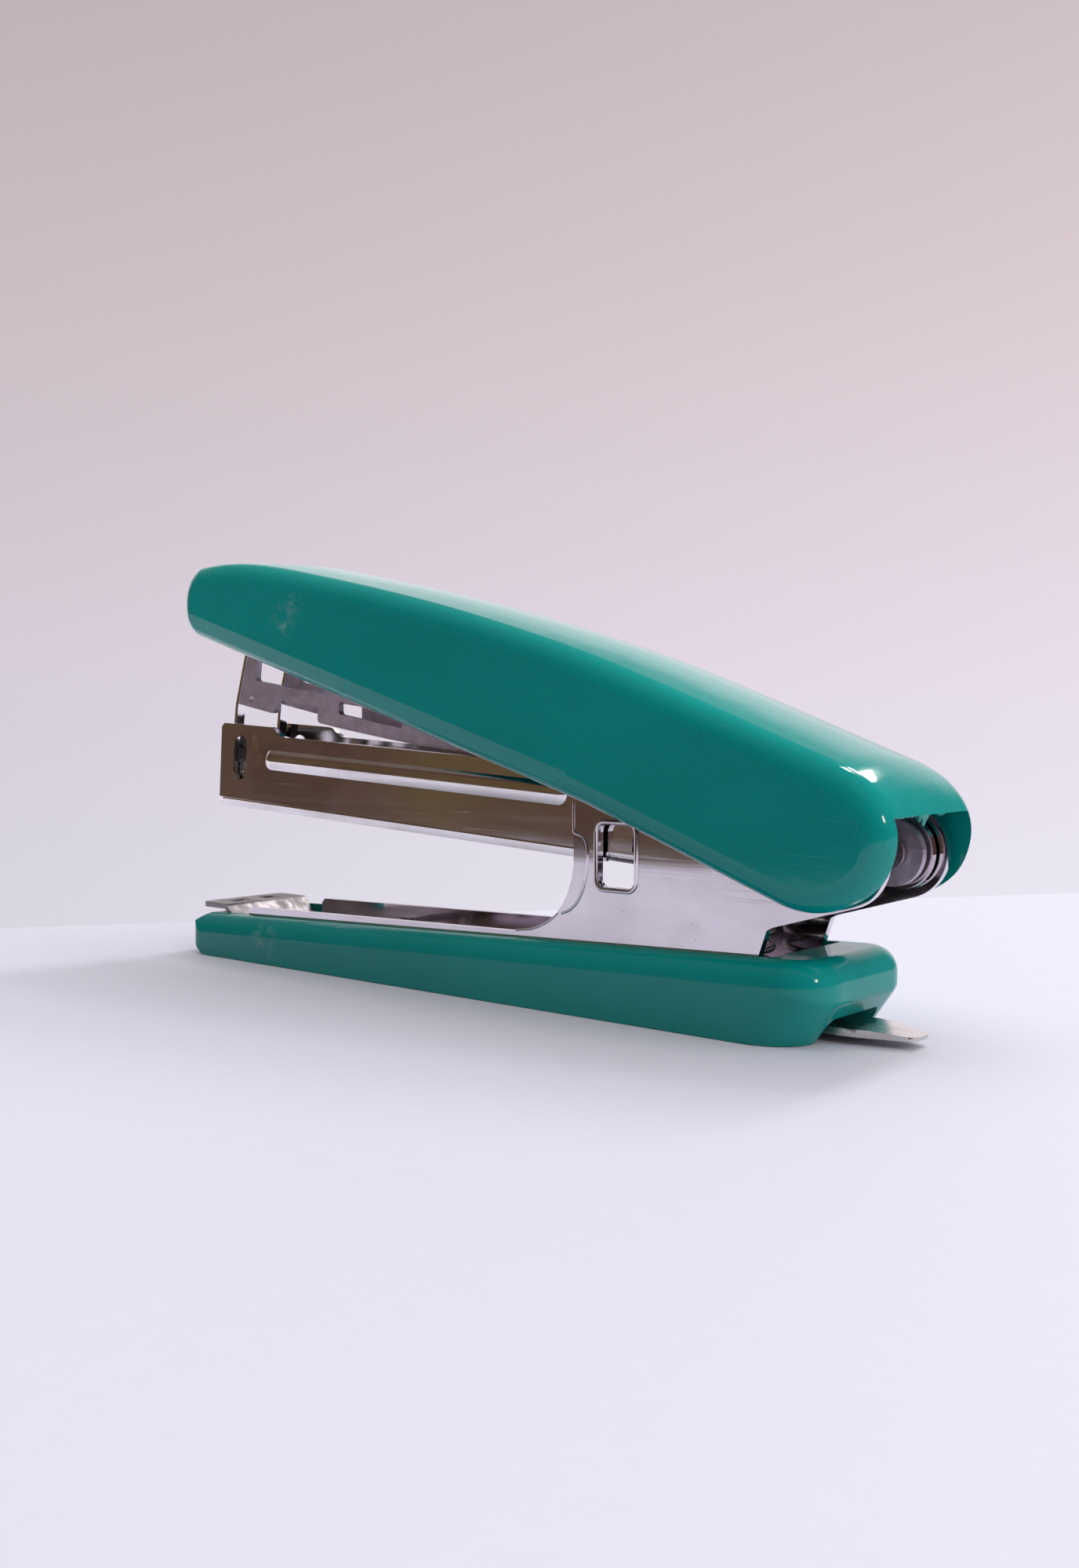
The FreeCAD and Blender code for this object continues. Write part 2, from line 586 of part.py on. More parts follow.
def handle_cavity():
    """The space inside the handle, open below and, between the cheeks, at the rear."""
    start = (-43.4, 44.6)
    top = [start, (-42.0, 46.0)] + inset(HANDLE_TOP[1:], 0, -HANDLE_WALL - CROWN_SAG)
    back = [top[-1], (46.8, 22.4), (48.4, 20.9)]
    low = [(48.4, 20.9), (60.0, 20.9), (60.0, 5.0), (-43.3, 5.0), (-43.3, 38.0), (-43.8, 43.0), start]
    edges = [spline_edge(top, 0), spline_edge(back, 0)]
    edges += [line_edge(a, b, 0) for a, b in zip(low[:-1], low[1:])]
    face = Part.Face(Part.Wire(edges))
    cavity = face.extrude(Vec(0, 2 * HANDLE_INNER_HALF_W, 0))
    cavity.translate(Vec(0, -HANDLE_INNER_HALF_W, 0))
    return cavity


def lower_bevel(sign):
    """Wedge that slants the lower edge of one side inward, from the thumb end to the kink."""
    ax, az = HANDLE_FRONT_LOW
    bx, bz = HANDLE_KINK
    length = math.hypot(bx - ax, bz - az)
    y = sign * HANDLE_HALF_W
    inner, outer = y - sign * BEVEL_DEPTH, y + sign
    ring = [Vec(-3, inner, -0.5), Vec(-3, inner, 0), Vec(-3, y, BEVEL_HEIGHT), Vec(-3, outer, BEVEL_HEIGHT),
            Vec(-3, outer, -0.5)]
    wedge = Part.Face(Part.makePolygon(ring + ring[:1])).extrude(Vec(length + 1.0, 0, 0))
    wedge.rotate(Vec(0, 0, 0), Vec(0, 1, 0), math.degrees(math.atan2(az - bz, bx - ax)))
    wedge.translate(Vec(ax, 0, az))
    return wedge


def handle_boss(x):
    """Post inside the handle that stands on the arm's web."""
    low = web_over(x) + 0.02
    boss = Part.makeCylinder(BOSS_R, 30, Vec(x, 0, low))
    under_web = [(x - 5, low - 5), (x + 5, low - 5), (x + 5, web_over(x + 5)), (x - 5, web_over(x - 5))]
    return boss.cut(prism(under_web, -5, 5))


def web_over(x):
    front, rear = ARM_TOP
    slope = (rear[1] - front[1]) / (rear[0] - front[0])
    return front[1] + slope * (x - front[0])


def handle_cover():
    """Glossy plastic handle: a crowned shell with cheeks that cover the hinge."""
    outside = handle_outside()
    shell = outside.cut(handle_cavity())
    for sign in (-1, 1):
        shell = shell.cut(lower_bevel(sign))
    dish_z = 48.0 + THUMB_DISH_R - THUMB_DISH_DEPTH
    shell = shell.cut(Part.makeSphere(THUMB_DISH_R, Vec(-32.0, 0, dish_z)))
    posts = [handle_boss(x).common(outside) for x in SCREW_X]
    shell = fuse_all([shell] + posts)
    for x in SCREW_X:
        shell = shell.cut(Part.makeCylinder(SCREW_R, 5.0, Vec(x, 0, web_over(x) - 1)))
    return shell


def arm_outline():
    points = [(-41.0, 31.0), (-34.2, 29.75), (-33.7, 31.5), (-26.3, 30.65), (-26.3, 28.7), (-21.8, 27.95),
              (-13.9, 26.8), (-1.8, 25.3), (34.8, 20.75), (40.0, 19.2)]
    for i in range(0, 26):
        a = math.radians(205 + i * 9.0)
        points.append((PIVOT_X + 3.2 * math.cos(a), PIVOT_Z + 3.2 * math.sin(a)))
    points += [(ARM_TOP[1][0], ARM_TOP[1][1]), (ARM_TOP[0][0], ARM_TOP[0][1]), (-39.2, 37.0)]
    return points


def driver_arm():
    """Steel channel, open below, that carries the blade and turns on the hinge."""
    outline = arm_outline()
    wall = rounded_prism(outline, -ARM_HALF_W, -ARM_HALF_W + ARM_T, {1: 0.6, 4: 0.5})
    front, rear = ARM_TOP
    web = prism([front, rear, (rear[0], web_under(rear[0])), (front[0], web_under(front[0]))],
                -ARM_HALF_W, ARM_HALF_W)
    arm = fuse_all(both_sides(wall) + [web])
    upper = [(-37.7, 33.85), (-30.5, 32.8), (-24.0, 31.75), (-24.0, 35.6), (-37.0, 38.9)]
    arm = arm.cut(rounded_prism(upper, -10, 10, {0: 0.4}))
    lower = [(-22.6, 29.7), (-12.0, 28.1), (-12.0, 29.5), (-22.6, 31.2)]
    arm = arm.cut(rounded_prism(lower, -10, 10, {0: 0.45, 1: 0.45, 2: 0.45, 3: 0.45}))
    arm = arm.cut(cross_cylinder(PIVOT_PIN_R + PIVOT_CLEARANCE, PIVOT_X, PIVOT_Z, -10, 10))
    for x in SCREW_X:
        arm = arm.cut(Part.makeCylinder(SCREW_R, 4, Vec(x, 0, web_under(x) - 1)))
    return arm


def driver_blade():
    """Thin plate at the front of the arm, with two windows, that drives one staple at a time."""
    lean = math.tan(math.radians(BLADE_LEAN))
    low_z, joint_z = 24.4, 31.0
    joint_x = -41.5
    low_x = joint_x - (joint_z - low_z) * lean
    top_z = 41.0
    top_x = joint_x + (top_z - joint_z) * 0.3
    front = [(low_x, low_z), (joint_x, joint_z), (top_x, top_z)]
    side = front + [(x + BLADE_T, z) for x, z in reversed(front)]
    blade = prism(side, -4.05, 4.05)
    bottom = [e for e in blade.Edges if e.Length < 0.8 and abs(e.CenterOfMass.z - low_z) < 1e-3]
    blade = blade.makeFillet(0.3, bottom)
    for half_w, low, high in ((2.7, 32.8, 39.4), (2.9, 27.6, 31.3)):
        blade = blade.cut(box(-45, -36, -half_w, half_w, low, high))
    return blade


def cross_screw(x):
    """Small screw that fixes the handle cover to the arm's web from inside."""
    top = web_over(x) + 3.6
    low = web_under(x)
    shank = Part.makeCylinder(SCREW_R, top - low + 1.0, Vec(x, 0, low - 1.0))
    head = Part.makeCylinder(1.8, 0.9, Vec(x, 0, low - 1.33))
    cross = box(x - 1.2, x + 1.2, -0.2, 0.2, low - 1.6, low - 1.0)
    cross = cross.fuse(box(x - 0.2, x + 0.2, -1.2, 1.2, low - 1.6, low - 1.0))
    return shank.fuse(head).cut(cross)


def build():
    os.makedirs("parts", exist_ok=True)
    save(base_cover(), "base_cover")
    save(base_frame(), "base_frame")
    save(anvil_plate(), "anvil_plate")
    save(staple_remover(), "staple_remover")
    save(remover_rivet(), "remover_rivet")
    save(cover_screw(-26.0), "base_screw_front")
    save(cover_screw(2.0), "base_screw_rear")
    save(pivot_rivet(-1), "pivot_rivet_near")
    save(pivot_rivet(1), "pivot_rivet_far")
    save(return_spring(), "return_spring")
    save(magazine_channel(), "magazine_channel")
    save(front_guide(), "front_guide")
    save(staple_rail(), "staple_rail")
    save(staple_strip(), "staple_strip")
    save(guide_rod(), "guide_rod")
    save(spring_seat(), "spring_seat")
    save(pusher(), "pusher")
    save(pusher_spring(), "pusher_spring")
    save(lift_leaf(), "lift_leaf")
    save(handle_spring(), "handle_spring")
    save(handle_cover(), "handle_cover")
    save(driver_arm(), "driver_arm")
    save(driver_blade(), "driver_blade")
    save(cross_screw(SCREW_X[0]), "handle_screw_front")
    save(cross_screw(SCREW_X[1]), "handle_screw_rear")


build()
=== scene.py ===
"""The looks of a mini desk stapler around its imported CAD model.

Metres. +Z is up, the thumb end points along -X and the hinge is at +X.
Points marked mm are in the same frame, in millimetres.
"""
import math
import random

import bmesh
import bpy
from mathutils import Matrix, Vector


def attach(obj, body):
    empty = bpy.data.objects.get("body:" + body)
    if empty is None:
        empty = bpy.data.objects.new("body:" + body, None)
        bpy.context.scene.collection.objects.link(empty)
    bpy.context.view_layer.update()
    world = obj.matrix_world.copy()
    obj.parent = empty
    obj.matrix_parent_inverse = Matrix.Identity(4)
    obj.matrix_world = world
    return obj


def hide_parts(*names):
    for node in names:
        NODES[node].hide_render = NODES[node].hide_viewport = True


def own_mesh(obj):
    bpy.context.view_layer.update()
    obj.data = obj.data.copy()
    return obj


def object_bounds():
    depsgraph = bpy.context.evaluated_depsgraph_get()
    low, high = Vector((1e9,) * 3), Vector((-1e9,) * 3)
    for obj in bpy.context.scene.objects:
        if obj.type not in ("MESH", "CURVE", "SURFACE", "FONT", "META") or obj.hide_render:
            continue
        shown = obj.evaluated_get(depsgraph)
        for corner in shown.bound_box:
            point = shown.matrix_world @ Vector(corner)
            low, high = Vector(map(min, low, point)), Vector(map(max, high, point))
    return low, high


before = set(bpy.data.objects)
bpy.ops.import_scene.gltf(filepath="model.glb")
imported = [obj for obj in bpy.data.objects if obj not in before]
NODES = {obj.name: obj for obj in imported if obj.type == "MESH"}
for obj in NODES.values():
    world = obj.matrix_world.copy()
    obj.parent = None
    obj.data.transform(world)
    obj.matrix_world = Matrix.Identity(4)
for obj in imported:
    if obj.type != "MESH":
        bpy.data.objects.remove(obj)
CAD_LOW, CAD_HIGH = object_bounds()
SCENE = bpy.context.scene
MM = 0.001

# The magazine at rest, in mm and radians
HINGE_X, HINGE_Z = 44.6, 17.0
MAGAZINE_TILT = math.radians(3.2)
MAGAZINE_WALL_Y = 5.15

# Outer face of the frame's walls, in mm
FRAME_WALL_Y = 6.35

# Camera
CAMERA_PLACE = Vector((0.1079, -0.1232, 0.0288))
CAMERA_AZIMUTH = math.radians(39.91)
CAMERA_ELEVATION = math.radians(2.35)
CAMERA_ROLL = math.radians(0.27)
CAMERA_LENS = 34.22
CAMERA_SENSOR = 36.0
CAMERA_NEAR = 0.005


# ---- Material building blocks ----

class Surface:
    """A procedural material on one Principled shader, with short calls for its node chains."""

    def __init__(self, name, **sockets):
        self.material = bpy.data.materials.new(name)
        self.material.use_nodes = True
        self.tree = self.material.node_tree
        self.shader = self.tree.nodes["Principled BSDF"]
        self.place = self.tree.nodes.new("ShaderNodeTexCoord").outputs["Object"]
        for socket, value in sockets.items():
            self.shader.inputs[socket.replace("_", " ")].default_value = value

    def node(self, kind, **settings):
        made = self.tree.nodes.new(kind)
        for key, value in settings.items():
            setattr(made, key, value)
        return made

    def link(self, source, target):
        self.tree.links.new(source, target)

    def scaled(self, scale, turn=(0, 0, 0)):
        """Object coordinates times a number, or a number for each axis, in cells per metre."""
        mapping = self.node("ShaderNodeMapping")
        mapping.inputs["Scale"].default_value = scale if isinstance(scale, tuple) else (scale,) * 3
        mapping.inputs["Rotation"].default_value = turn
        self.link(self.place, mapping.inputs["Vector"])
        return mapping.outputs["Vector"]

    def noise(self, scale, detail=3.0, rough=0.5, turn=(0, 0, 0)):
        texture = self.node("ShaderNodeTexNoise")
        texture.inputs["Scale"].default_value = 1.0
        texture.inputs["Detail"].default_value = detail
        texture.inputs["Roughness"].default_value = rough
        self.link(self.scaled(scale, turn), texture.inputs["Vector"])
        return texture.outputs["Fac"]

    def cells(self, scale):
        """Distance to the nearest of many scattered points."""
        texture = self.node("ShaderNodeTexVoronoi")
        texture.inputs["Scale"].default_value = 1.0
        self.link(self.scaled(scale), texture.inputs["Vector"])
        return texture.outputs["Distance"]

    def spread(self, value, low, high, to_low=0.0, to_high=1.0):
        """value, stretched from low..high to to_low..to_high and held there."""
        mapped = self.node("ShaderNodeMapRange")
        mapped.inputs["From Min"].default_value = low
        mapped.inputs["From Max"].default_value = high
        mapped.inputs["To Min"].default_value = to_low
        mapped.inputs["To Max"].default_value = to_high
        self.link(value, mapped.inputs["Value"])
        return mapped.outputs["Result"]

    def combine(self, how, a, b):
        made = self.node("ShaderNodeMath", operation=how)
        for socket, value in zip(made.inputs, (a, b)):
            if isinstance(value, (int, float)):
                socket.default_value = value
            else:
                self.link(value, socket)
        return made.outputs["Value"]

    def near(self, centre, radius):
        """1 at a point of the object, falling to 0 at the radius."""
        gap = self.node("ShaderNodeVectorMath", operation="DISTANCE")
        self.link(self.place, gap.inputs[0])
        gap.inputs[1].default_value = centre
        return self.spread(gap.outputs["Value"], 0.0, radius, 1.0, 0.0)

    def mix(self, amount, a, b):
        """Colour a where amount is 0 and b where it is 1; each is a colour or an output."""
        made = self.node("ShaderNodeMix", data_type="RGBA")
        self.link(amount, made.inputs["Factor"])
        for socket, value in ((made.inputs[6], a), (made.inputs[7], b)):
            if isinstance(value, tuple):
                socket.default_value = value + (1.0,)
            else:
                self.link(value, socket)
        return made.outputs[2]

    def colour(self, output):
        self.link(output, self.shader.inputs["Base Color"])

    def roughness(self, output):
        self.link(output, self.shader.inputs["Roughness"])

    def bump(self, height, distance, strength=1.0, under=None):
        made = self.node("ShaderNodeBump")
        made.inputs["Distance"].default_value = distance
        made.inputs["Strength"].default_value = strength
        self.link(height, made.inputs["Height"])
        if under is not None:
            self.link(under, made.inputs["Normal"])
        return made.outputs["Normal"]

    def normal(self, output):
        self.link(output, self.shader.inputs["Normal"])

    def hairlines(self, along, across, turn, cut=0.66):
        """Fine straight scratches: thin crests of a long stretched noise."""
        return self.spread(self.noise((along, across, across), 2.0, 0.6, turn), cut, cut + 0.06)


WORN_PLASTIC = (0.36, 0.52, 0.46)
TARNISH = (0.32, 0.24, 0.17)
PUNCH_R = 0.45 * MM


def plastic(name, deep, bright, scuffs):
    """Glossy moulded plastic with flow marks, orange peel, hairline scratches and rubbed spots."""
    made = Surface(name, IOR=1.42)
    flow = made.spread(made.noise((28, 70, 70), 4.0), 0.3, 0.7)
    grain = made.spread(made.noise(2600, 2.0), 0.35, 0.65)
    tone = made.mix(flow, deep, bright)
    tone = made.mix(made.combine("MULTIPLY", grain, 0.12), tone, tuple(min(1.0, c * 1.5) for c in bright))
    lines = made.combine("MAXIMUM", made.hairlines(25, 4200, (0, 0.24, 0.05)),
                         made.hairlines(60, 3500, (0.3, 0.9, 0.4), 0.7))
    patches = made.spread(made.noise(900, 4.0, 0.7), 0.46, 0.62)
    rubbed = None
    for centre, radius in scuffs:
        spot = made.combine("MULTIPLY", made.near(centre, radius), patches)
        rubbed = spot if rubbed is None else made.combine("MAXIMUM", rubbed, spot)
    worn = made.combine("MULTIPLY", rubbed, 0.32)
    made.colour(made.mix(worn, tone, WORN_PLASTIC))
    smooth = made.spread(made.noise(140, 3.0), 0.3, 0.75, 0.07, 0.13)
    smooth = made.combine("ADD", smooth, made.combine("MULTIPLY", lines, 0.12))
    made.roughness(made.combine("ADD", smooth, made.combine("MULTIPLY", rubbed, 0.28)))
    peel = made.bump(made.noise(750, 2.0), 0.02 * MM, 0.35)
    made.normal(made.bump(lines, 0.004 * MM, 0.5, peel))
    return made.material


def plated(name, light, dull, rough, streak=900, pits=True, stain=0.25, dents=()):
    """Plated sheet steel: mirror-like, with rolling streaks, cloudy patches, handling marks and pits."""
    made = Surface(name, Metallic=1.0)
    cloud = made.spread(made.noise((90, 160, 160), 5.0, 0.6), 0.35, 0.72)
    tone = made.mix(cloud, light, dull)
    if pits:
        dots = made.spread(made.cells(1400), 0.05, 0.16, 1.0, 0.0)
        some = made.spread(made.noise(320, 2.0), 0.52, 0.64)
        dots = made.combine("MULTIPLY", dots, some)
        tone = made.mix(made.combine("MULTIPLY", dots, 0.7), tone, TARNISH)
    stains = made.spread(made.noise((60, 120, 120), 6.0, 0.7), 0.56, 0.74)
    made.colour(made.mix(made.combine("MULTIPLY", stains, stain), tone, TARNISH))
    rolled = made.noise((40, streak, streak), 3.0, 0.65)
    base = made.spread(rolled, 0.3, 0.75, rough, rough * 2.1)
    marks = made.hairlines(80, 3800, (0.2, 0.5, 0.25), 0.68)
    base = made.combine("ADD", base, made.combine("MULTIPLY", cloud, rough * 0.7))
    made.roughness(made.combine("ADD", base, made.combine("MULTIPLY", marks, 0.07)))
    shape = made.bump(made.noise(55, 1.0), 0.09 * MM, 0.35)
    for centre, radius, depth in dents:
        shape = made.bump(made.combine("SMOOTH_MAX", made.near(centre, radius), 0.2), -depth, 1.0, shape)
    made.normal(made.bump(rolled, 0.0035 * MM, 0.45, shape))
    return made.material


def bare_steel(name, light, dark, rough, punch=None):
    """Unplated or blackened steel: matt, mottled, with faint rolling lines and perhaps a punch mark."""
    made = Surface(name, Metallic=1.0)
    blotch = made.spread(made.noise(700, 5.0, 0.7), 0.32, 0.68)
    broad = made.spread(made.noise(120, 3.0), 0.35, 0.65)
    tone = made.mix(blotch, dark, light)
    made.colour(made.mix(made.combine("MULTIPLY", broad, 0.35), tone, dark))
    lines = made.noise((70, 2600, 2600), 3.0, 0.6)
    made.roughness(made.spread(lines, 0.3, 0.7, rough, rough + 0.16))
    coarse = made.bump(blotch, 0.006 * MM, 0.5)
    if punch is not None:
        coarse = made.bump(made.spread(made.near(punch, PUNCH_R), 0.1, 0.7), -0.12 * MM, 1.0, coarse)
    made.normal(made.bump(lines, 0.004 * MM, 0.5, coarse))
    return made.material


def wire_steel(name, light, dark, rough):
    """Drawn spring or staple wire: bright, with lengthwise drawing marks and a darker heat tint."""
    made = Surface(name, Metallic=1.0, Anisotropic=0.4)
    tint = made.spread(made.noise(500, 3.0), 0.35, 0.65)
    made.colour(made.mix(tint, dark, light))
    fine = made.noise(5200, 3.0, 0.7)
    made.roughness(made.spread(fine, 0.3, 0.7, rough, rough + 0.14))
    made.normal(made.bump(fine, 0.003 * MM, 0.5))
    return made.material


# ---- Materials of the CAD nodes ----

# Rubbed spots of the plastic as (centre, radius), and dents of the magazine as (centre, radius, depth)
HANDLE_SCUFFS = [((-0.0262, -0.0093, 0.0405), 0.0026), ((-0.0243, -0.0093, 0.0423), 0.0016)]
BASE_SCUFFS = [((-0.030, -0.0092, 0.003), 0.003)]
TORN_SCUFFS = [((0.0494, -0.0006, 0.0205), 0.004)]
MAGAZINE_DENTS = [((-0.0368, -0.00515, 0.0263), 0.0014, 0.00010),
                  ((-0.0360, -0.00515, 0.0243), 0.0010, 0.00005)]

FACES = {
    "green": plastic("green_plastic_gloss", (0.0008, 0.225, 0.207), (0.0014, 0.288, 0.260),
                     HANDLE_SCUFFS),
    "flash": plastic("green_plastic_torn", (0.020, 0.30, 0.26), (0.10, 0.42, 0.36), TORN_SCUFFS),
    "green_base": plastic("green_plastic_base", (0.0008, 0.200, 0.188), (0.0014, 0.255, 0.235),
                          BASE_SCUFFS),
    "chrome": plated("chrome_frame", (0.78, 0.74, 0.79), (0.67, 0.62, 0.67), 0.045),
    "magazine": plated("nickel_magazine", (0.90, 0.87, 0.90), (0.76, 0.71, 0.72), 0.055, stain=0.35,
                       dents=MAGAZINE_DENTS),
    "anvil": plated("anvil_plate_steel", (0.46, 0.43, 0.45), (0.38, 0.35, 0.37), 0.30),
    "remover": plated("remover_steel", (0.78, 0.75, 0.74), (0.60, 0.56, 0.55), 0.14, streak=1800),
    "arm": bare_steel("driver_arm_steel", (0.78, 0.68, 0.81), (0.53, 0.46, 0.55), 0.40,
                      punch=(-0.0385, -0.0040, 0.0315)),
    "blade": plated("driver_blade_steel", (0.88, 0.87, 0.88), (0.80, 0.78, 0.79), 0.05, streak=2600,
                    pits=False, stain=0.08),
    "rail": bare_steel("rail_steel", (0.52, 0.49, 0.47), (0.34, 0.31, 0.30), 0.24),
    "dull": bare_steel("dull_steel", (0.46, 0.44, 0.43), (0.28, 0.26, 0.26), 0.34),
    "screw": plated("screw_steel", (0.72, 0.70, 0.68), (0.52, 0.49, 0.48), 0.16, streak=3200),
    "rivet": plated("rivet_steel", (0.74, 0.71, 0.70), (0.58, 0.54, 0.54), 0.13, streak=3200),
    "spring": wire_steel("spring_wire", (0.58, 0.55, 0.53), (0.38, 0.35, 0.34), 0.22),
    "staple": wire_steel("staple_wire", (0.62, 0.61, 0.60), (0.46, 0.44, 0.43), 0.20),
    "pusher": bare_steel("pusher_steel", (0.60, 0.57, 0.55), (0.44, 0.41, 0.40), 0.22),
}

NODE_FACES = {
    "base_cover": "green_base", "base_frame": "chrome", "anvil_plate": "anvil",
    "staple_remover": "remover", "remover_rivet": "rivet", "base_screw_front": "screw",
    "base_screw_rear": "screw", "pivot_rivet_near": "rivet", "pivot_rivet_far": "rivet",
    "return_spring": "spring", "magazine_channel": "magazine", "front_guide": "magazine",
    "staple_rail": "rail", "staple_strip": "staple", "guide_rod": "dull", "spring_seat": "dull",
    "pusher": "pusher", "pusher_spring": "spring", "lift_leaf": "dull", "handle_spring": "spring",
    "handle_cover": "green", "driver_arm": "arm", "driver_blade": "blade",
    "handle_screw_front": "screw", "handle_screw_rear": "screw",
}


for node_name, face_name in NODE_FACES.items():
    NODES[node_name].data.materials.clear()
    NODES[node_name].data.materials.append(FACES[face_name])


def add_piece(name, data, body):
    """A new surface detail that moves with a body."""
    made = bpy.data.objects.new(name, data)
    SCENE.collection.objects.link(made)
    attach(made, body)


# ---- Rolled edges of the pressed steel ----

# Width of each piece's rolled edge, in mm
EDGE_WIDTHS = {"magazine_channel": 0.10, "base_frame": 0.09, "driver_arm": 0.10, "staple_remover": 0.07,
               "anvil_plate": 0.08, "front_guide": 0.06, "driver_blade": 0.05, "spring_seat": 0.08,
               "pusher": 0.08}


def roll_edges(obj, width):
    """Round a steel piece's sharp edges by a hair, as a press does, so that they catch the light."""
    weld = obj.modifiers.new("weld", "WELD")
    weld.merge_threshold = 0.001 * MM
    bevel = obj.modifiers.new("rolled_edges", "BEVEL")
    bevel.width = width * MM
    bevel.segments = 2
    bevel.limit_method = "ANGLE"
    bevel.angle_limit = math.radians(38)
    bevel.harden_normals = True


for node_name, edge_width in EDGE_WIDTHS.items():
    roll_edges(NODES[node_name], edge_width)


# ---- Rims pressed out of the frame's walls ----

def bead(name, points, wall_y, radius, closed):
    """Round chrome bead along a side view path of (x, z) in mm, half sunk in the frame's wall."""
    curve = bpy.data.curves.new(name, "CURVE")
    curve.dimensions = "3D"
    curve.bevel_depth = radius * MM
    curve.bevel_resolution = 4
    curve.use_fill_caps = True
    path = curve.splines.new("POLY")
    path.points.add(len(points) - 1)
    for point, (x, z) in zip(path.points, points):
        point.co = (x * MM, wall_y * MM, z * MM, 1.0)
    path.use_cyclic_u = closed
    path.use_smooth = True
    curve.materials.append(FACES["chrome"])
    add_piece(name, curve, "base")


def round_window(x0, x1, z0, z1, radius):
    """Side view of a rectangle with round corners, in mm."""
    points = []
    for cx, cz, start in ((x1 - radius, z1 - radius, 0), (x0 + radius, z1 - radius, 90),
                          (x0 + radius, z0 + radius, 180), (x1 - radius, z0 + radius, 270)):
        for i in range(9):
            turn = math.radians(start + i * 11.25)
            points.append((cx + radius * math.cos(turn), cz + radius * math.sin(turn)))
    return points


def rounded_path(corners, cuts=3):
    """An open path through corners, its corners cut again and again until it is smooth."""
    for _ in range(cuts):
        middle = []
        for (ax, az), (bx, bz) in zip(corners[:-1], corners[1:]):
            middle.append((ax * 0.75 + bx * 0.25, az * 0.75 + bz * 0.25))
            middle.append((ax * 0.25 + bx * 0.75, az * 0.25 + bz * 0.75))
        corners = [corners[0]] + middle + [corners[-1]]
    return corners


WINDOW_RIM = round_window(17.52, 22.48, 12.32, 19.08, 1.05)
THROAT_RIM = rounded_path([(14.72, 20.8), (14.72, 18.5), (14.74, 17.75), (15.3, 17.65), (16.0, 17.4),
                           (16.4, 16.7), (16.5, 15.3), (16.2, 12.9), (15.5, 11.2), (14.4, 10.0),
                           (13.2, 9.55)])
THROAT_EDGE = rounded_path([(14.85, 17.0), (14.85, 14.6), (14.4, 12.2), (13.3, 10.1), (11.6, 8.55),
                            (9.4, 7.55), (7.1, 7.25)])

# Name, path, radius in mm and whether the path is a closed ring
RIMS = [("window_rim", WINDOW_RIM, 0.25, True), ("throat_rim", THROAT_RIM, 0.17, False),
        ("throat_edge", THROAT_EDGE, 0.11, False)]

for side_name, side in (("near", -1), ("far", 1)):
    for rim_name, rim, rim_r, closed in RIMS:
        bead(rim_name + "_" + side_name, rim, side * FRAME_WALL_Y, rim_r, closed)


# ---- Rolled hem along the magazine's lower edges ----

# Both ends and the lower edge from the hinge, and the section as (out of the wall, up), in mm
HEM_FRONT, HEM_REAR, HEM_LOW = -87.2, -26.5, -3.48
HEM_SHAPE = [(-0.30, 0.02), (0.02, 0.00), (0.09, 0.30), (0.14, 0.60), (0.15, 0.80), (0.10, 0.92),
             (-0.20, 0.94)]


def magazine_point(x, y, z):
    """A point at rest, in metres, from mm along, across and up the tilted magazine from the hinge."""
    cos, sin = math.cos(MAGAZINE_TILT), math.sin(MAGAZINE_TILT)
    return (HINGE_X + x * cos + z * sin) * MM, y * MM, (HINGE_Z - x * sin + z * cos) * MM


def skin_rings(name, rings, face):
    """Closed mesh through rings of points that have equal counts, with flat ends."""
    shape = bmesh.new()
    rings = [[shape.verts.new(point) for point in ring] for ring in rings]
    count = len(rings[0])
    for a, b in zip(rings[:-1], rings[1:]):
        for k in range(count):
            shape.faces.new((a[k], b[k], b[(k + 1) % count], a[(k + 1) % count]))
    shape.faces.new(rings[0][::-1])
    shape.faces.new(rings[-1])
    bmesh.ops.recalc_face_normals(shape, faces=shape.faces)
    mesh = bpy.data.meshes.new(name)
    shape.to_mesh(mesh)
    shape.free()
    mesh.materials.append(FACES[face])
    return mesh


def hem(name, side):
    """Strip on one wall of the magazine, with a section that leans in towards its lower edge."""
    rings = [[magazine_point(x, side * (MAGAZINE_WALL_Y + out), HEM_LOW + up) for out, up in HEM_SHAPE]
             for x in (HEM_FRONT, HEM_REAR)]
    add_piece(name, skin_rings(name, rings, "magazine"), "magazine")


hem("magazine_hem_near", -1)
hem("magazine_hem_far", 1)


# ---- Spring copies that move with their bodies ----


def soft_spring(node, body):
    """A copy of a CAD spring that moves with a body, while the CAD spring itself is hidden.
    """
    original = NODES[node]
    made = bpy.data.objects.new(node + "_soft", original.data.copy())
    SCENE.collection.objects.link(made)
    made.matrix_world = original.matrix_world.copy()
    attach(made, body)
    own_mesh(made)
    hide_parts(node)


soft_spring("return_spring", "base")
soft_spring("handle_spring", "magazine")
soft_spring("pusher_spring", "magazine")


# ---- Torn gate remnants under the handle's rear edge ----

# Rear wall of the handle at its lower edge, in mm: inner and outer face, edge height, torn tip
LIP_INNER, LIP_OUTER, LIP_Z, LIP_TIP = 48.75, 50.0, 21.0, 49.7
LIP_STEP = 0.14


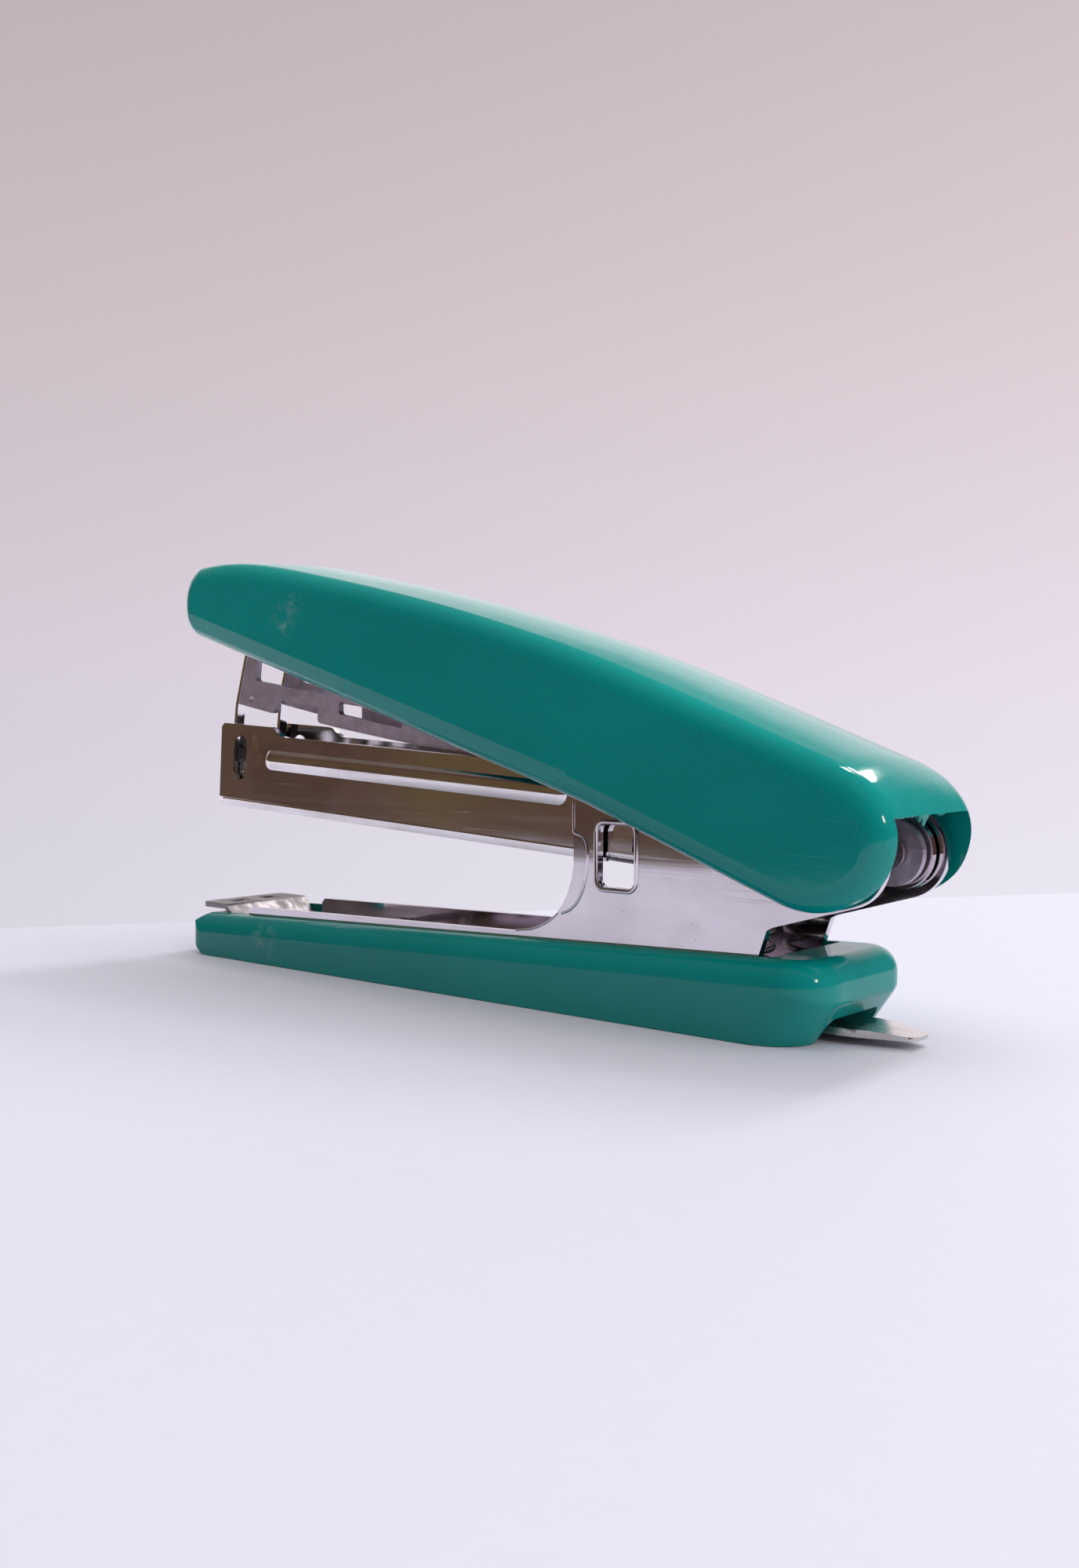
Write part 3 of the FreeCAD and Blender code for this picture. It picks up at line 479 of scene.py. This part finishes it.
def torn_lip(name, y0, y1, depths, seed):
    """Ragged wedge of moulding flash from y0 to y1 in mm, with a mean depth at each end."""
    chance = random.Random(seed)
    steps = max(4, int((y1 - y0) / LIP_STEP))
    rings = []
    for i in range(steps + 1):
        t = i / steps
        mean = depths[0] * (1 - t) + depths[1] * t
        deep = mean * chance.uniform(0.35, 1.25) * min(1.0, 6 * t + 0.1, 6 * (1 - t) + 0.1)
        y = y0 + (y1 - y0) * t
        inner, outer = LIP_INNER + chance.uniform(0, 0.15), LIP_OUTER - chance.uniform(0, 0.25)
        tip = LIP_TIP - deep * 0.2 + chance.uniform(-0.12, 0.05)
        section = [(inner, y, LIP_Z), (outer, y, LIP_Z),
                   (tip + 0.12, y, LIP_Z - 0.10 - deep * 0.8), (tip, y, LIP_Z - 0.12 - deep)]
        rings.append([Vector(point) * MM for point in section])
    add_piece(name, skin_rings(name, rings, "flash"), "handle")


torn_lip("gate_flash_long", -6.6, -1.5, (0.22, 0.12), 3)
torn_lip("gate_flash_lump", -1.6, 0.3, (0.75, 0.95), 8)
torn_lip("gate_flash_nib", 2.3, 3.4, (0.30, 0.25), 5)


# ---- Floor, light and camera ----

# The sheet: its far edge's line, how far it runs on both ways, its width and its height
SHEET_EDGE = Vector((-0.0816, -0.0132)), Vector((0.0151, 0.1329))
SHEET_REACH = 1.1
SHEET_WIDTH = 1.3
SHEET_Z = -0.05 * MM
GROUND_HALF = 8
GROUND_Z = -0.6 * MM

# The dim card in front of the object
CARD_X0, CARD_X1 = -1.5, 0.9
CARD_Y = -0.137
CARD_HEIGHT = 0.16

# Colour stops as (place, colour)
CARD_STOPS = [(0.36, (0.066, 0.038, 0.032)), (0.50, (0.096, 0.059, 0.042)), (0.62, (0.112, 0.078, 0.036))]
WALL_STOPS = [(0.0, (0.68, 0.63, 0.69)), (0.11, (0.72, 0.66, 0.72)), (0.21, (1.00, 0.93, 0.99)),
              (0.43, (0.95, 0.87, 0.91)), (0.54, (0.40, 0.36, 0.38)), (0.62, (0.17, 0.155, 0.16)),
              (1.0, (0.18, 0.165, 0.17))]
ROOM_STOPS = [(0.0, (0.10, 0.060, 0.040)), (0.30, (0.12, 0.080, 0.058)), (0.55, (0.15, 0.115, 0.095)),
              (1.0, (0.18, 0.165, 0.17))]
BACKDROP_STOPS = [(0.0, (0.78, 0.76, 0.86)), (0.15, (0.755, 0.73, 0.82)), (0.35, (0.74, 0.67, 0.755)),
                  (0.70, (0.645, 0.546, 0.578)), (0.86, (0.58, 0.497, 0.52)), (1.0, (0.54, 0.46, 0.48))]
DIM_CORNER = (0.16, 0.145, 0.15, 1.0)

# Light colours
LAMP_WHITE = (1.0, 0.97, 0.95)
WINDOW_WARM = (1.0, 0.93, 0.80)
SOFT_WHITE = (1.0, 0.98, 0.98)

# Lamps that show as highlights: name, azimuth, elevation, size, watts, colour
LAMPS = [("lamp_high", 179, 60, (0.10, 0.13), 0.85, LAMP_WHITE),
         ("lamp_low", 179, 43, (0.11, 0.27), 1.9, LAMP_WHITE),
         ("side_window", 75, 27, (0.07, 0.13), 0.9, WINDOW_WARM)]
LAMP_DISTANCE = 0.9

# Wide lights without a highlight: name, azimuth, elevation, side, watts
SOFT_LIGHTS = [("soft_back", 175, 79, 2.3, 27.0), ("soft_front", -40, 55, 1.8, 1.9),
               ("soft_right", 98, 24, 1.2, 9.0)]
SOFT_DISTANCE = 1.4


def flat_polygon(name, corners, height, material):
    mesh = bpy.data.meshes.new(name)
    mesh.from_pydata([(x, y, height) for x, y in corners], [], [tuple(range(len(corners)))])
    mesh.materials.append(material)
    made = bpy.data.objects.new(name, mesh)
    SCENE.collection.objects.link(made)
    return made


def paper_material(name, tone, rough):
    made = Surface(name)
    fibre = made.spread(made.noise(420, 4.0, 0.7), 0.3, 0.7)
    made.colour(made.mix(fibre, tuple(c * 0.985 for c in tone), tone))
    made.roughness(made.spread(made.noise(900, 3.0), 0.3, 0.7, rough, rough + 0.1))
    return made.material


def add_floor():
    """A white sheet whose far edge runs diagonally behind the object, and a ground the camera skips."""
    edge_a, edge_b = SHEET_EDGE
    along = (edge_b - edge_a).normalized()
    away = Vector((along.y, -along.x)) * SHEET_WIDTH
    start, end = edge_a - along * SHEET_REACH, edge_b + along * SHEET_REACH
    white = paper_material("floor_white", (0.585, 0.595, 0.69), 0.6)
    flat_polygon("floor_sheet", [start, end, end + away, start + away], SHEET_Z, white)
    around = [(x * GROUND_HALF, y * GROUND_HALF) for x, y in ((-1, -1), (1, -1), (1, 1), (-1, 1))]
    pink = paper_material("floor_pink", (0.73, 0.71, 0.78), 0.7)
    flat_polygon("floor_ground", around, GROUND_Z, pink).visible_camera = False


def ramp(tree, value, stops):
    made = tree.nodes.new("ShaderNodeValToRGB")
    elements = made.color_ramp.elements
    while len(elements) < len(stops):
        elements.new(0.5)
    for element, (place, colour) in zip(elements, stops):
        element.position = place
        element.color = colour + (1.0,)
    tree.links.new(value, made.inputs["Fac"])
    return made.outputs["Color"]


def stretched(tree, value, low, high, to_low=0.0, to_high=1.0, kind="LINEAR"):
    """value, stretched from low..high to to_low..to_high and held there."""
    mapped = tree.nodes.new("ShaderNodeMapRange")
    mapped.interpolation_type = kind
    limits = {"From Min": low, "From Max": high, "To Min": to_low, "To Max": to_high}
    for socket, number in limits.items():
        mapped.inputs[socket].default_value = number
    tree.links.new(value, mapped.inputs["Value"])
    return mapped.outputs["Result"]


def mixed(tree, amount, a, b):
    """Colour output a where amount is 0 and b, an output or a colour, where it is 1."""
    made = tree.nodes.new("ShaderNodeMix")
    made.data_type = "RGBA"
    tree.links.new(amount, made.inputs["Factor"])
    tree.links.new(a, made.inputs[6])
    if isinstance(b, tuple):
        made.inputs[7].default_value = b
    else:
        tree.links.new(b, made.inputs[7])
    return made.outputs[2]


def add_dark_card():
    """The dim room in front of the object: a glowing card that only shows in reflections."""
    material = bpy.data.materials.new("room")
    material.use_nodes = True
    tree = material.node_tree
    tree.nodes.clear()
    patches = tree.nodes.new("ShaderNodeTexNoise")
    patches.inputs["Scale"].default_value = 9.0
    tree.links.new(tree.nodes.new("ShaderNodeTexCoord").outputs["Object"], patches.inputs["Vector"])
    glow = tree.nodes.new("ShaderNodeEmission")
    tree.links.new(ramp(tree, patches.outputs["Fac"], CARD_STOPS), glow.inputs["Color"])
    tree.links.new(glow.outputs[0], tree.nodes.new("ShaderNodeOutputMaterial").inputs[0])
    corners = [(CARD_X0, 0), (CARD_X1, 0), (CARD_X1, CARD_HEIGHT), (CARD_X0, CARD_HEIGHT)]
    card = flat_polygon("room_card", corners, 0.0, material)
    card.rotation_euler = (math.radians(90), 0, 0)
    card.location = (0, CARD_Y, 0)
    card.visible_camera = False
    card.visible_diffuse = False
    card.visible_transmission = False
    card.visible_shadow = False


def room_light(tree, parts):
    """The light by direction: a pale wall at -X and +Y, dim at +X, and a dim room at -Y."""
    wall = ramp(tree, parts.outputs["Z"], WALL_STOPS)
    corner = stretched(tree, parts.outputs["X"], -0.10, 0.22, kind="SMOOTHSTEP")
    behind = mixed(tree, corner, wall, DIM_CORNER)
    room = ramp(tree, parts.outputs["Z"], ROOM_STOPS)
    side = stretched(tree, parts.outputs["Y"], -0.35, 0.15, kind="SMOOTHSTEP")
    return mixed(tree, side, room, behind)


def backdrop_light(tree, direction, parts):
    """The plain backdrop: pale at the floor, duskier upwards, and a little brighter to one side."""
    tone = ramp(tree, stretched(tree, parts.outputs["Z"], -0.2, 0.5), BACKDROP_STOPS)
    across = tree.nodes.new("ShaderNodeVectorMath")
    across.operation = "DOT_PRODUCT"
    tree.links.new(direction, across.inputs[0])
    across.inputs[1].default_value = (0.77, 0.64, 0)
    shade = tree.nodes.new("ShaderNodeVectorMath")
    shade.operation = "SCALE"
    tree.links.new(tone, shade.inputs[0])
    brighter = stretched(tree, across.outputs["Value"], -0.35, 0.35, 0.91, 1.09)
    tree.links.new(brighter, shade.inputs["Scale"])
    return shade.outputs["Vector"]


def add_world():
    """The backdrop behind everything, and the room that lights the object."""
    world = bpy.data.worlds.new("studio")
    world.use_nodes = True
    SCENE.world = world
    tree = world.node_tree
    tree.nodes.clear()
    direction = tree.nodes.new("ShaderNodeTexCoord").outputs["Generated"]
    parts = tree.nodes.new("ShaderNodeSeparateXYZ")
    tree.links.new(direction, parts.inputs[0])
    seen_directly = tree.nodes.new("ShaderNodeLightPath").outputs["Is Camera Ray"]
    colour = mixed(tree, seen_directly, room_light(tree, parts), backdrop_light(tree, direction, parts))
    shine = tree.nodes.new("ShaderNodeBackground")
    tree.links.new(colour, shine.inputs["Color"])
    tree.links.new(shine.outputs[0], tree.nodes.new("ShaderNodeOutputWorld").inputs[0])


def outward(azimuth, elevation):
    """Unit direction at angles in radians. Azimuth 0 is -Y and a quarter turn is +X."""
    flat = math.cos(elevation)
    return Vector((math.sin(azimuth) * flat, -math.cos(azimuth) * flat, math.sin(elevation)))


def add_light(name, azimuth, elevation, distance, size, watts, colour):
    """A rectangular light that shines at the object from a direction in degrees."""
    data = bpy.data.lights.new(name, "AREA")
    data.shape = "RECTANGLE"
    data.size, data.size_y = size
    data.energy = watts
    data.color = colour
    made = bpy.data.objects.new(name, data)
    SCENE.collection.objects.link(made)
    out = outward(math.radians(azimuth), math.radians(elevation))
    made.location = (CAD_LOW + CAD_HIGH) / 2 + out * distance
    made.rotation_mode = "QUATERNION"
    made.rotation_quaternion = out.to_track_quat("Z", "Y")
    return made


def add_camera():
    data = bpy.data.cameras.new("camera")
    data.lens = CAMERA_LENS
    data.sensor_width = CAMERA_SENSOR
    data.clip_start = CAMERA_NEAR
    back = outward(CAMERA_AZIMUTH, CAMERA_ELEVATION)
    level = Vector((math.cos(CAMERA_AZIMUTH), math.sin(CAMERA_AZIMUTH), 0))
    upward = back.cross(level)
    right = level * math.cos(CAMERA_ROLL) + upward * math.sin(CAMERA_ROLL)
    top = upward * math.cos(CAMERA_ROLL) - level * math.sin(CAMERA_ROLL)
    made = bpy.data.objects.new("camera", data)
    SCENE.collection.objects.link(made)
    made.matrix_world = Matrix((right, top, back)).transposed().to_4x4()
    made.location = CAMERA_PLACE
    SCENE.camera = made


add_floor()
add_dark_card()
add_world()
for name, azimuth, elevation, size, watts, colour in LAMPS:
    add_light(name, azimuth, elevation, LAMP_DISTANCE, size, watts, colour)
for name, azimuth, elevation, width, watts in SOFT_LIGHTS:
    soft = add_light(name, azimuth, elevation, SOFT_DISTANCE, (width, width), watts, SOFT_WHITE)
    soft.visible_glossy = False
SCENE.view_settings.view_transform = "Standard"
add_camera()
